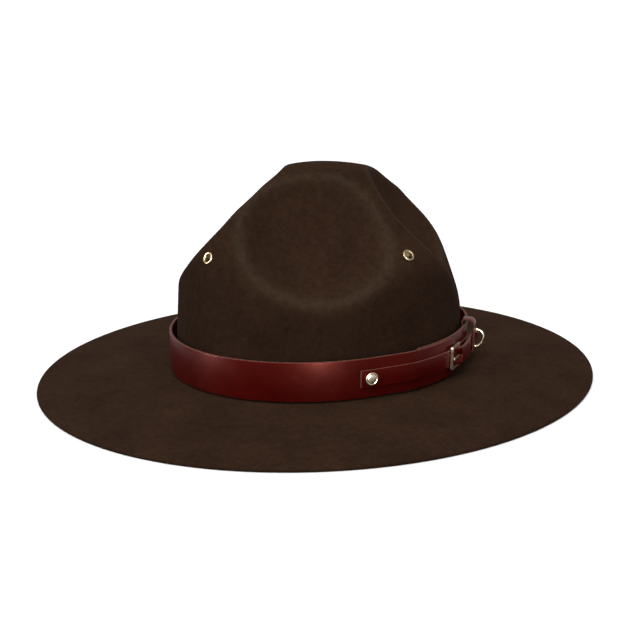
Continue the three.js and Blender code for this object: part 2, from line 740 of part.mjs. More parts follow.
function chapeStrap() {
  const heelFoldRadius = heelBarRadius + pieceGap + chapeThickness / 2;
  const heelFold = Array.from({ length: foldSteps + 1 }, (_, i) => {
    const angle = Math.PI * (i / foldSteps);
    return [heelBarArc - heelFoldRadius * Math.sin(angle), heelBarOut + heelFoldRadius * Math.cos(angle)];
  });
  const ringFold = Array.from({ length: foldSteps + 1 }, (_, i) => {
    const angle = Math.PI * (i / foldSteps);
    return [ringBarArc + ringFoldRadius * Math.sin(angle), ringBarOut - ringFoldRadius * Math.cos(angle)];
  });
  const liftEnd = ringBarArc - ringFoldRadius;
  const between = [
    ...steps(heelBarArc + heelFoldRadius, billetEnd, slopeStep),
    ...steps(billetEnd, liftEnd, slopeStep / 2).slice(1),
  ];
  const lift = (arc) => smoothstep(arc, billetEnd, liftEnd);
  const lower = between.map((arc) => [
    arc,
    lerp(strapSeat(arc) + chapeThickness / 2, ringBarOut - ringFoldRadius, lift(arc)),
  ]);
  const upper = between.toReversed().map((arc) => [
    arc,
    lerp(billetInner(arc) - pieceGap - chapeThickness / 2, ringBarOut + ringFoldRadius, lift(arc)),
  ]);
  const path = [...heelFold, ...lower, ...ringFold, ...upper]
    .map(([arc, out]) => new THREE.Vector2(arc, out));
  const sections = path.map((point, i) => {
    const before = path[(i + path.length - 1) % path.length];
    const after = path[(i + 1) % path.length];
    const along = after.clone().sub(before).normalize();
    const side = new THREE.Vector2(along.y, -along.x).multiplyScalar(chapeThickness / 2);
    const lean = radians(ringLean) * lift(point.x);
    const corner = (sign, above) => {
      const off = point.y + sign * side.y - ringBarOut;
      const out = ringBarOut + off * Math.cos(lean) + above * Math.sin(lean);
      const z = strapHeight - off * Math.sin(lean) + above * Math.cos(lean);
      return bandPoint(point.x + sign * side.x, out, z);
    };
    const half = chapeWidth / 2;
    return [corner(-1, -half), corner(1, -half), corner(1, half), corner(-1, half)];
  });
  return skin(sections);
}

// Slot in the chape's fold for the tongue's eye
const eyeSlotLength = tongueEyeRadius + pieceGap + chapeFoldHalf + slopeMargin;
const eyeSlot = new THREE.BoxGeometry(eyeSlotLength, tongueWidth + 2 * pieceGap, 4 * chapeFoldHalf)
  .translate(barSpacing + tongueEyeRadius + pieceGap - eyeSlotLength / 2, 0, 0)
  .applyMatrix4(bucklePlace);

addPiece('chape_strap', cut(chapeStrap(), eyeSlot), leatherMaterial);

// Keeper: goes from behind the band, over its top edge, down outside the straps and in under them
function keeperLoop() {
  const stack = billetInner(keeperEnd) + billetThickness;
  const inside = bandStandoff - pieceGap - keeperThickness / 2;
  const over = bandTop + keeperRise + keeperThickness / 2;
  const outside = stack + pieceGap + keeperThickness / 2;
  const under = strapHeight - strapWidth / 2 - pieceGap - keeperThickness / 2;
  const face = bandStandoff + bandThickness + pieceGap;
  const tuck = bandTop - keeperTuck;
  const corners = [[inside, tuck], [inside, over], [outside, over], [outside, under], [face, under]]
    .map(([out, z]) => new THREE.Vector2(out, z));
  const path = roundedPath(corners, [keeperCornerRadius, keeperArchRadius, keeperCornerRadius]);
  return rod(path.map((point, i) => {
    const before = path[Math.max(i - 1, 0)];
    const after = path[Math.min(i + 1, path.length - 1)];
    const along = after.clone().sub(before).normalize();
    const side = new THREE.Vector2(along.y, -along.x).multiplyScalar(keeperThickness / 2);
    const corner = (arc, sign) => bandPoint(arc, point.x + sign * side.x, point.y + sign * side.y);
    return [corner(keeperStart, 1), corner(keeperEnd, 1), corner(keeperEnd, -1), corner(keeperStart, -1)];
  }));
}

// Replaces each inner corner of a path with a curve that starts its radius before the corner
function roundedPath(corners, radii) {
  const path = [corners[0]];
  for (let i = 1; i < corners.length - 1; i++) {
    const toBefore = corners[i - 1].clone().sub(corners[i]);
    const toAfter = corners[i + 1].clone().sub(corners[i]);
    const reach = Math.min(radii[i - 1], toBefore.length() / 2, toAfter.length() / 2);
    const start = corners[i].clone().addScaledVector(toBefore.normalize(), reach);
    const end = corners[i].clone().addScaledVector(toAfter.normalize(), reach);
    const curve = new THREE.QuadraticBezierCurve(start, corners[i], end);
    path.push(...curve.getPoints(curveSteps));
  }
  path.push(corners.at(-1));
  return path;
}

addPiece('keeper_loop', keeperLoop(), leatherMaterial);

// Ring: a straight bar, along the local y axis, and a bow on its +x side
function ringGeometry() {
  const half = ringBarLength / 2;
  const bow = Array.from({ length: bowSteps + 1 }, (_, i) => {
    const angle = Math.PI * (i / bowSteps - 0.5);
    return new THREE.Vector3(ringReach * Math.cos(angle) ** ringSquareness, half * Math.sin(angle), 0);
  });
  const bar = [0.75, 0.25, -0.25, -0.75].map((share) => new THREE.Vector3(0, half * share, 0));
  const path = [...bow, ...bar];
  return skin(path.map((point, i) => {
    const before = path[(i + path.length - 1) % path.length];
    const after = path[(i + 1) % path.length];
    const along = after.clone().sub(before).normalize();
    const across = new THREE.Vector3().crossVectors(along, new THREE.Vector3(0, 0, 1));
    return Array.from({ length: wireSides }, (_, k) => {
      const angle = -(k / wireSides) * 2 * Math.PI;
      return point.clone()
        .addScaledVector(across, ringWireRadius * Math.cos(angle))
        .add(new THREE.Vector3(0, 0, ringWireRadius * Math.sin(angle)));
    });
  }));
}

const ringMount = new THREE.Group();
ringMount.applyMatrix4(bandFrame(ringBarArc, ringBarOut, strapHeight));
hat.add(ringMount);
const ring = addPiece('d_ring', ringGeometry(), brassMaterial, ringMount);
ring.rotateX(radians(ringLean));
ring.rotateY(-radians(ringSwing));

export default hat;
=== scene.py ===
"""A campaign hat: brown felt with four dents, a mahogany leather band and small brass fittings.

Lengths are millimetres until a mesh is made. The front of the hat points to -Y, +Z is up, and the
brim's edge rests on z = 0. Arc lengths run round the crown's foot from the front towards +X.
"""

import math

import bmesh
import bpy
import numpy as np
from mathutils import Matrix, Vector, noise


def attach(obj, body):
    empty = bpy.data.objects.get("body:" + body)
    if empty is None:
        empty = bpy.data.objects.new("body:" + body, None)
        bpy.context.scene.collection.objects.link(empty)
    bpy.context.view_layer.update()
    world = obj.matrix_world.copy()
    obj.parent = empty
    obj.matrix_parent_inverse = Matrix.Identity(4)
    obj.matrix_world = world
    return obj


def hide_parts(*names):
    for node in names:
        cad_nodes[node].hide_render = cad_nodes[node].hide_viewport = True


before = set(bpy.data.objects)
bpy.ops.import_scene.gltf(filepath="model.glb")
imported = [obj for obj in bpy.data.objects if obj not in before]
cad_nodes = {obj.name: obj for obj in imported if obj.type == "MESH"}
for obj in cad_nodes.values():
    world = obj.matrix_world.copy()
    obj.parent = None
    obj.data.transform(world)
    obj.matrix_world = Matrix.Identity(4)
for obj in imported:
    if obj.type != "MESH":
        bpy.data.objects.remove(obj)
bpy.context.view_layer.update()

METRES = 0.001
UP = np.array([0.0, 0.0, 1.0])

# Felt. The sizes down to the eyelets' are those of the solid pieces.
FELT_THICKNESS = 2.5
CROWN_HALF_LENGTH = 100.9            # outside of the crown's foot, front to back
CROWN_HALF_WIDTH = 86.8              # outside of the crown's foot, side to side
CROWN_TAPER = 0.06                   # how much the wall leans in, per millimetre of height
CROWN_HEIGHT = 135.9
SHOULDER_HEIGHT = 79.8               # where the upright wall would meet the slope
PLATEAU_HALF_LENGTH = 56.5           # where the slope would meet the top
PLATEAU_HALF_WIDTH = 26.1
PLATEAU_RADIUS = 165                 # radius of the domed top
SHOULDER_ROUND = 10                  # widths over which two surfaces melt together
PLATEAU_ROUND = 8
FACE_ROUND = 8
BOWL_ROUND = 5
FLARE_RADIUS = 5                     # round foot where the crown turns into the brim

# Dents: balls pressed into the crown at the front (end -1) and the back (end 1), each centred in the
# upright plane that stands `turn` degrees from there. In that plane the ball passes through a low and
# a high point. Reaches and radii are shares of the mean half width of the crown's foot, and heights
# are shares of the crown's height. Each nearly flat face has a round bowl pressed into it.
FACES = [
    {"end": -1, "turn": 52, "low": (0.914, 0.503), "high": (0.32, 0.978), "radius": 2.14},
    {"end": 1, "turn": 46, "low": (0.892, 0.48), "high": (0.641, 0.998), "radius": 1.71},
]
BOWLS = [
    {"end": -1, "turn": 48.5, "low": (0.8, 0.527), "high": (0.314, 0.907), "radius": 1.02},
    {"end": 1, "turn": 45, "low": (0.851, 0.532), "high": (0.339, 0.93), "radius": 1.02},
]

# Brim
BRIM_HALF_LENGTH = 190
BRIM_HALF_WIDTH = 171.4
BRIM_RISE = 8.2                      # top of the brim beside the crown, above the resting plane
BRIM_CURVE = 0.5                     # share of the droop that grows with the square of the way out
BRIM_REST_WIDTH = 5                  # flat ring under the edge, which the hat rests on
BRIM_REST_BLEND = 9                  # width over which that ring meets the sloping underside

# Wide band
PIECE_GAP = 0.3                      # clearance between pieces that touch
BAND_WIDTH = 24.2
BAND_THICKNESS = 1.8
BAND_STANDOFF = 1.7                  # from the crown's foot to the band's inner face
BAND_LAP_START = 140
BAND_LAP_LENGTH = 37
BAND_LAP_RAMP = 25                   # length over which the outer end climbs over the inner end
LAP_MARGIN = 2                       # flat stretch before the inner end
BAND_TIP_ROUND = 6

# Narrow straps
STRAP_WIDTH = 10.8
BILLET_THICKNESS = 1.3
BILLET_START = 99
STUD_SETBACK = 6.6                   # from the strap's square end to the stud's centre
CHAPE_THICKNESS = 1
CHAPE_WIDTH = 9.2
SLOPE_MARGIN = 1                     # flat stretch beside a bar or the keeper, where a slope ends
BILLET_TAIL = 0.5                    # the strap's tip beyond the keeper
BILLET_TIP_LENGTH = 5

# Stud and buckle
STUD_HEAD_RADIUS = 4
STUD_HEAD_HEIGHT = 1.4
BUCKLE_FRONT_BAR = 167.4             # arc length of the front bar's centre line
BUCKLE_LENGTH = 12.6                 # from the front bar's centre line to the heel bar's
BUCKLE_BAR_WIDTH = 1.6
BUCKLE_THICKNESS = 1.5
HEEL_BAR_RADIUS = 0.7
HEEL_BAR_STAND = 0.6                 # room under the chape's fold
TONGUE_WIDTH = 1.8
TONGUE_EYE_WALL = 0.8
TONGUE_SLOT_LENGTH = 5.6             # slot in the narrow strap that the tongue comes through
TONGUE_SLOT_PLACE = 0.6              # its centre, as a share of the way from bar to bar

# Keeper
KEEPER_SETBACK = 24.5                # from the heel bar to the keeper's near edge
KEEPER_WIDTH = 8
KEEPER_THICKNESS = 1.1
KEEPER_RISE = 2.2                    # from the band's top edge up to the keeper's inner face
KEEPER_TUCK = 14                     # how far its upper end reaches down behind the band
KEEPER_CORNER_RADIUS = 1.4
KEEPER_ARCH_RADIUS = 4.5             # where it turns down outside the straps

# Ring
RING_WIRE_RADIUS = 0.85
RING_BAR_LENGTH = 11.6
RING_REACH = 6.4                     # from the bar's centre line to the far side of the bow
RING_SQUARENESS = 0.6                # 1 is half an ellipse, less is squarer
RING_CLEARANCE = 0.4                 # between the ring's bar and the leather folded round it
RING_SETBACK = 4.6                   # from the keeper's far edge to the bar
RING_LEAN = 18                       # degrees that the bar leans out at its top
RING_SWING = 88                      # degrees that the bow stands out from the band

# Eyelets
EYELET_HEIGHT = 88.5
EYELET_TURN = -2                     # degrees that they stand beside the ridges
EYELET_HOLE_RADIUS = 2.4
EYELET_BARREL_RADIUS = 2.9
EYELET_FLANGE_RADIUS = 3.8


# Small helpers

def lerp(a, b, share):
    return a + (b - a) * share


def half_turn(count):
    """Angles from 0 to half a turn, in `count` steps."""
    return np.linspace(0, math.pi, count + 1)


def smoothstep(x, low, high):
    share = np.clip((x - low) / (high - low), 0, 1)
    return share * share * (3 - 2 * share)


def unit(vector):
    return vector / np.linalg.norm(vector)


def steps(start, end, size):
    return np.linspace(start, end, max(1, round((end - start) / size)) + 1)


def placed(points, matrix):
    points = np.asarray(points, float)
    return points @ matrix[:3, :3].T + matrix[:3, 3]


def turn_about(axis, degrees):
    return np.array(Matrix.Rotation(math.radians(degrees), 4, axis))


# Meshes

def make_mesh(name, points, faces, material, edge=None):
    """A smooth mesh with its faces pointing out. `edge` is 1 on a cut edge or on a felt rim that is painted
    paler for wear and for the light it catches, and 0 on a face.
    """
    mesh = bpy.data.meshes.new(name)
    mesh.from_pydata((np.asarray(points, float) * METRES).tolist(), [], faces)
    if edge is not None:
        attribute = mesh.attributes.new("edge", "FLOAT", "POINT")
        attribute.data.foreach_set("value", np.asarray(edge, np.float32))
    tidy = bmesh.new()
    tidy.from_mesh(mesh)
    bmesh.ops.recalc_face_normals(tidy, faces=tidy.faces)
    tidy.to_mesh(mesh)
    tidy.free()
    mesh.polygons.foreach_set("use_smooth", np.ones(len(mesh.polygons), bool))
    mesh.materials.append(material)
    piece = bpy.data.objects.new(name, mesh)
    bpy.context.scene.collection.objects.link(piece)
    return piece


def ring_faces(rows, count, closed):
    """Quads between rows of `count` points each. A closed skin joins its last row to its first."""
    faces = []
    for row in range(rows if closed else rows - 1):
        near = row * count
        far = ((row + 1) % rows) * count
        for i in range(count):
            j = (i + 1) % count
            faces.append((near + i, near + j, far + j, far + i))
    return faces


def loft(name, rings, material, closed=False, edge=None):
    """A skin over rings of points, with flat ends unless it is closed on itself."""
    count = len(rings[0])
    faces = ring_faces(len(rings), count, closed)
    if not closed:
        faces.append(tuple(range(count)))
        faces.append(tuple(range((len(rings) - 1) * count, len(rings) * count)))
    return make_mesh(name, np.vstack(rings), faces, material, edge)


def stand_for(piece, node, body):
    """Puts a piece in the place of a solid one, on its body."""
    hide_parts(node)
    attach(piece, body)
    return piece


def cut_away(piece, *cutters):
    """Cuts closed meshes out of a piece, and deletes them."""
    for cutter in cutters:
        modifier = piece.modifiers.new("cut", "BOOLEAN")
        modifier.operation = "DIFFERENCE"
        modifier.solver = "EXACT"
        modifier.object = cutter
    graph = bpy.context.evaluated_depsgraph_get()
    mesh = bpy.data.meshes.new_from_object(piece.evaluated_get(graph))
    piece.modifiers.clear()
    piece.data = mesh
    for cutter in cutters:
        bpy.data.objects.remove(cutter)


# Shader graphs

class Graph:
    """A material's node tree, with its Principled shader."""

    def __init__(self, name):
        self.material = bpy.data.materials.new(name)
        self.material.use_nodes = True
        self.tree = self.material.node_tree
        self.shader = self.tree.nodes["Principled BSDF"]

    def add(self, kind, inputs=None, **settings):
        node = self.tree.nodes.new(kind)
        for key, value in settings.items():
            setattr(node, key, value)
        self.feed(node, inputs or {})
        return node

    def feed(self, node, inputs):
        for key, value in inputs.items():
            if isinstance(value, bpy.types.NodeSocket):
                self.tree.links.new(value, node.inputs[key])
            else:
                node.inputs[key].default_value = value

    def place(self):
        return self.add("ShaderNodeTexCoord").outputs["Object"]

    def noise(self, vector, scale, detail, roughness, distortion=0.0):
        inputs = {
            "Vector": vector,
            "Scale": scale,
            "Detail": detail,
            "Roughness": roughness,
            "Distortion": distortion,
        }
        return self.add("ShaderNodeTexNoise", inputs).outputs["Fac"]

    def math(self, operation, a, b):
        return self.add("ShaderNodeMath", {0: a, 1: b}, operation=operation).outputs[0]

    def weighted(self, a, weight_a, b, weight_b):
        return self.math("ADD", self.math("MULTIPLY", a, weight_a), self.math("MULTIPLY", b, weight_b))

    def edge(self):
        """The mesh's own value that is 1 on a cut edge, or on a felt rim painted paler for worn nap and as a
        painted highlight.
        """
        return self.add("ShaderNodeAttribute", attribute_name="edge").outputs["Fac"]

    def spread(self, value, low, high, to_low=0.0, to_high=1.0):
        inputs = {"Value": value, "From Min": low, "From Max": high, "To Min": to_low, "To Max": to_high}
        return self.add("ShaderNodeMapRange", inputs).outputs["Result"]

    def mix(self, share, a, b):
        """Colours a and b, mixed by a share. The sockets of a colour mix are found by their numbers."""
        node = self.add("ShaderNodeMix", data_type="RGBA")
        self.feed(node, {0: share, 6: a, 7: b})
        return node.outputs[2]

    def bump(self, height, distance, strength):
        inputs = {"Height": height, "Distance": distance, "Strength": strength}
        return self.add("ShaderNodeBump", inputs).outputs["Normal"]


# Colours and finish

FELT_DARK = (0.0165, 0.0080, 0.0048, 1)
FELT_LIGHT = (0.0310, 0.0158, 0.0088, 1)
FELT_FIBRE = (0.075, 0.048, 0.030, 1)
# the bowls' rims: partly worn nap, partly a painted highlight of light caught on the rims
FELT_WORN_AND_HIGHLIT = (0.042, 0.0290, 0.0180, 1)
LEATHER_DEEP = (0.047, 0.0010, 0.0006, 1)
LEATHER_BRIGHT = (0.064, 0.0018, 0.0010, 1)
LEATHER_EDGE = (0.125, 0.060, 0.046, 1)
LEATHER_EDGE_DARK = (0.060, 0.022, 0.016, 1)
BRASS_BRIGHT = (0.66, 0.56, 0.40, 1)
BRASS_DULL = (0.34, 0.27, 0.17, 1)
EYELET_BRIGHT = (0.42, 0.33, 0.19, 1)
EYELET_DULL = (0.16, 0.11, 0.06, 1)
FLOOR_COLOUR = (0.86, 0.86, 0.86, 1)
SPECK_SHARE = 0.55                   # how strongly the pale fibres show on the felt
EDGE_ROUGHNESS = 0.4                 # how much rougher leather is on a cut edge
SCRATCH_ROUGHNESS = 0.16             # how much rougher brass is where it is scratched


def felt_material():
    """Matt brown felt: soft clouds, finer tufts, pale fibres, and a paler ring along the bowls' rims that is
    partly rubbed nap and partly a painted highlight where the rims catch the light.
    """
    graph = Graph("felt")
    place = graph.place()
    clouds = graph.noise(place, scale=28, detail=5, roughness=0.62)
    tufts = graph.noise(place, scale=260, detail=6, roughness=0.7, distortion=0.6)
    fibres = graph.noise(place, scale=1500, detail=5, roughness=0.75, distortion=1.8)
    blend = graph.weighted(clouds, 0.45, tufts, 0.55)
    ground = graph.mix(graph.spread(blend, low=0.36, high=0.64), FELT_DARK, FELT_LIGHT)
    specks = graph.spread(fibres, low=0.60, high=0.74)
    patchy = graph.spread(tufts, low=0.35, high=0.65, to_low=0.25, to_high=0.6)
    # the rims are painted paler: partly worn nap, partly a painted highlight
    worn_and_highlit = graph.mix(graph.math("MULTIPLY", graph.edge(), patchy), ground, FELT_WORN_AND_HIGHLIT)
    colour = graph.mix(graph.math("MULTIPLY", specks, SPECK_SHARE), worn_and_highlit, FELT_FIBRE)
    height = graph.weighted(tufts, 0.6, fibres, 0.4)
    graph.feed(graph.shader, {
        "Base Color": colour,
        "Roughness": 0.95,
        "Specular IOR Level": 0.01,
        "Sheen Weight": 0.006,
        "Sheen Roughness": 0.5,
        "Sheen Tint": (0.75, 0.62, 0.50, 1),
        "Normal": graph.bump(height, distance=0.00035, strength=0.7),
    })
    return graph.material


def leather_material():
    """Polished red-brown leather, with paler and rougher cut edges."""
    graph = Graph("leather")
    place = graph.place()
    edge = graph.edge()
    clouds = graph.noise(place, scale=55, detail=4, roughness=0.6)
    face = graph.mix(graph.spread(clouds, low=0.35, high=0.68), LEATHER_DEEP, LEATHER_BRIGHT)
    grain = graph.noise(place, scale=900, detail=3, roughness=0.6)
    rim = graph.mix(graph.spread(grain, low=0.35, high=0.65), LEATHER_EDGE_DARK, LEATHER_EDGE)
    pores = graph.add("ShaderNodeTexVoronoi", {"Vector": place, "Scale": 1400.0}).outputs["Distance"]
    wear = graph.noise(place, scale=130, detail=5, roughness=0.65)
    polish = graph.spread(wear, low=0.3, high=0.7, to_low=0.27, to_high=0.33)
    creases = graph.noise(place, scale=320, detail=5, roughness=0.6, distortion=0.8)
    height = graph.weighted(pores, 0.35, creases, 0.65)
    graph.feed(graph.shader, {
        "Base Color": graph.mix(edge, face, rim),
        "Roughness": graph.math("ADD", polish, graph.math("MULTIPLY", edge, EDGE_ROUGHNESS)),
        "Specular IOR Level": 0.2,
        "Specular Tint": (1, 0.26, 0.2, 1),
        "Normal": graph.bump(height, distance=0.00004, strength=0.4),
    })
    return graph.material


def metal_material(name, bright, dull, roughness):
    """Brass with dull patches and fine scratches. `roughness` is that of its smoothest places."""
    graph = Graph(name)
    place = graph.place()
    patches = graph.noise(place, scale=330, detail=5, roughness=0.65)
    tarnish = graph.spread(patches, low=0.42, high=0.68)
    scratches = graph.noise(place, scale=2600, detail=3, roughness=0.6, distortion=2.5)
    scratched = roughness + SCRATCH_ROUGHNESS
    graph.feed(graph.shader, {
        "Base Color": graph.mix(tarnish, bright, dull),
        "Metallic": 1.0,
        "Roughness": graph.spread(scratches, low=0.3, high=0.7, to_low=roughness, to_high=scratched),
        "Normal": graph.bump(scratches, distance=0.00002, strength=0.35),
    })
    return graph.material


def floor_material():
    graph = Graph("floor")
    graph.feed(graph.shader, {
        "Base Color": FLOOR_COLOUR,
        "Roughness": 0.9,
        "Specular IOR Level": 0.1,
    })
    return graph.material


FELT = felt_material()
LEATHER = leather_material()
BRASS = metal_material("brass", BRASS_BRIGHT, BRASS_DULL, roughness=0.20)
EYELET_BRASS = metal_material("eyelet_brass", EYELET_BRIGHT, EYELET_DULL, roughness=0.28)


# The crown's shape, as a field that is zero on the outside of the felt and negative within it

HALVINGS = 40                        # of the stretch in which a ray meets the felt
NORMAL_STEP = 0.2
RIM_DEPTH = 2.4                      # how far from a rim, in depth, the paler felt (worn nap and painted highlight) fades


def smooth_max(a, b, width):
    """The larger of two fields, melted together where they differ by less than `width`."""
    overlap = np.maximum(width - np.abs(a - b), 0) / width
    return np.maximum(a, b) + overlap * overlap * width / 4


def oval_field(x, y, half_width, half_length):
    """Nearly the distance outside an oval, and negative within it."""
    q = np.hypot(x / half_width, y / half_length)
    slope = np.hypot(x / half_width**2, y / half_length**2)
    safe = np.where(slope > 0, slope, 1)
    return np.where(slope > 0, (q - 1) * q / safe, -half_width)


def wall_inset(z):
    return CROWN_TAPER * (z - BRIM_RISE)


def block_field(points):
    """The crown before its dents are pressed: an upright wall, a slope and a domed top."""
    x, y, z = points.T
    inset = wall_inset(z)
    wall = oval_field(x, y, CROWN_HALF_WIDTH - inset, CROWN_HALF_LENGTH - inset)
    slope_rise = CROWN_HEIGHT - SHOULDER_HEIGHT
    rise = np.clip((z - SHOULDER_HEIGHT) / slope_rise, -1, 1)
    length_in = CROWN_HALF_LENGTH - PLATEAU_HALF_LENGTH
    width_in = CROWN_HALF_WIDTH - PLATEAU_HALF_WIDTH
    steepness = (length_in + width_in) / 2 / slope_rise
    slope = oval_field(x, y, CROWN_HALF_WIDTH - width_in * rise, CROWN_HALF_LENGTH - length_in * rise)
    top = z - CROWN_HEIGHT + (x * x + y * y) / (2 * PLATEAU_RADIUS)
    return smooth_max(smooth_max(wall, slope / math.hypot(1, steepness), SHOULDER_ROUND), top, PLATEAU_ROUND)


def dent_ball(dent, side):
    """Centre and radius of a dent's ball, on the wearer's left (side 1) or right (side -1)."""
    mean_radius = math.sqrt(CROWN_HALF_LENGTH * CROWN_HALF_WIDTH)
    sizes = np.array([mean_radius, CROWN_HEIGHT])
    low = np.array(dent["low"]) * sizes
    high = np.array(dent["high"]) * sizes
    radius = dent["radius"] * mean_radius
    chord = high - low
    stand = math.sqrt(radius**2 - (np.linalg.norm(chord) / 2) ** 2)
    middle = (low + high) / 2 + unit(np.array([chord[1], -chord[0]])) * stand
    turn = math.radians(dent["turn"])
    centre = (side * middle[0] * math.sin(turn), dent["end"] * middle[0] * math.cos(turn), middle[1])
    return np.array(centre), radius


def balls_of(dents):
    return [dent_ball(dent, side) for dent in dents for side in (-1, 1)]


FACE_BALLS = balls_of(FACES)
BOWL_BALLS = balls_of(BOWLS)


def pressed(field, balls, points, width):
    for centre, radius in balls:
        field = smooth_max(field, radius - np.linalg.norm(points - centre, axis=1), width)
    return field


def crown_field(points):
    faced = pressed(block_field(points), FACE_BALLS, points, FACE_ROUND)
    return pressed(faced, BOWL_BALLS, points, BOWL_ROUND)


def rim_wear_and_highlight_share(points):
    """1 along the rims of the bowls, where the felt is painted paler for worn nap and as a painted
    highlight, falling to 0 on both sides.
    """
    faced = pressed(block_field(points), FACE_BALLS, points, FACE_ROUND)
    bowls = [radius - np.linalg.norm(points - centre, axis=1) for centre, radius in BOWL_BALLS]
    return np.exp(-(((faced - np.max(bowls, axis=0)) / RIM_DEPTH) ** 2))


def cast_to_felt(start, along, depth):
    """Points where rays from `start` come within `depth` of the felt's outside."""
    near = np.zeros(len(along))
    far = np.full(len(along), BRIM_HALF_LENGTH + CROWN_HEIGHT, float)
    for _ in range(HALVINGS):
        middle = (near + far) / 2
        inside = crown_field(start + along * middle[:, None]) < -depth
        near = np.where(inside, middle, near)
        far = np.where(inside, far, middle)
    return start + along * near[:, None]


def felt_normal(point):
    shifts = np.eye(3) * NORMAL_STEP
    return unit(crown_field(point + shifts) - crown_field(point - shifts))


# Felt body

FELT_COLUMNS = 288
CROWN_ROWS = 88
WALL_ROWS = 8
FLARE_ROWS = 8
BRIM_ROWS = 26
EDGE_ROWS = 6
REST_ROWS = 5
ROW_MARGIN = 0.01                    # least share of the brim's width between two rows under it
NOISE_REACH = 0.08                   # how far the felt strays from its true form
SLOW_WAVE = 24                       # lengths over which it strays
QUICK_WAVE = 7
NOISE_SEED = 1
EVEN_HEIGHT = 1                      # the felt is even below this, where the hat rests
EVEN_BLEND = 6                       # height over which the unevenness sets in


def oval(turns, half_width, half_length, z):
    turns = np.asarray(turns, float)
    heights = np.full(turns.shape, float(z))
    return np.stack([half_width * np.sin(turns), -half_length * np.cos(turns), heights], -1)


def brim_top(share):
    """Height of the brim's top at a share of the way from the crown's foot to the edge."""
    droop = (1 - BRIM_CURVE) * share + BRIM_CURVE * share**2
    return BRIM_RISE - (BRIM_RISE - FELT_THICKNESS) * droop


def uneven(points):
    """Moves points by slow noise, so that the felt isn't as even as a machined part."""
    noise.seed_set(NOISE_SEED)
    moved = []
    for point in points:
        slow = noise.noise_vector(Vector(point) / SLOW_WAVE) * NOISE_REACH
        quick = noise.noise_vector(Vector(point) / QUICK_WAVE) * NOISE_REACH / 3
        moved.append(slow + quick)
    strength = np.clip((points[:, 2] - EVEN_HEIGHT) / EVEN_BLEND, 0, 1)[:, None]
    return points + np.array(moved) * strength


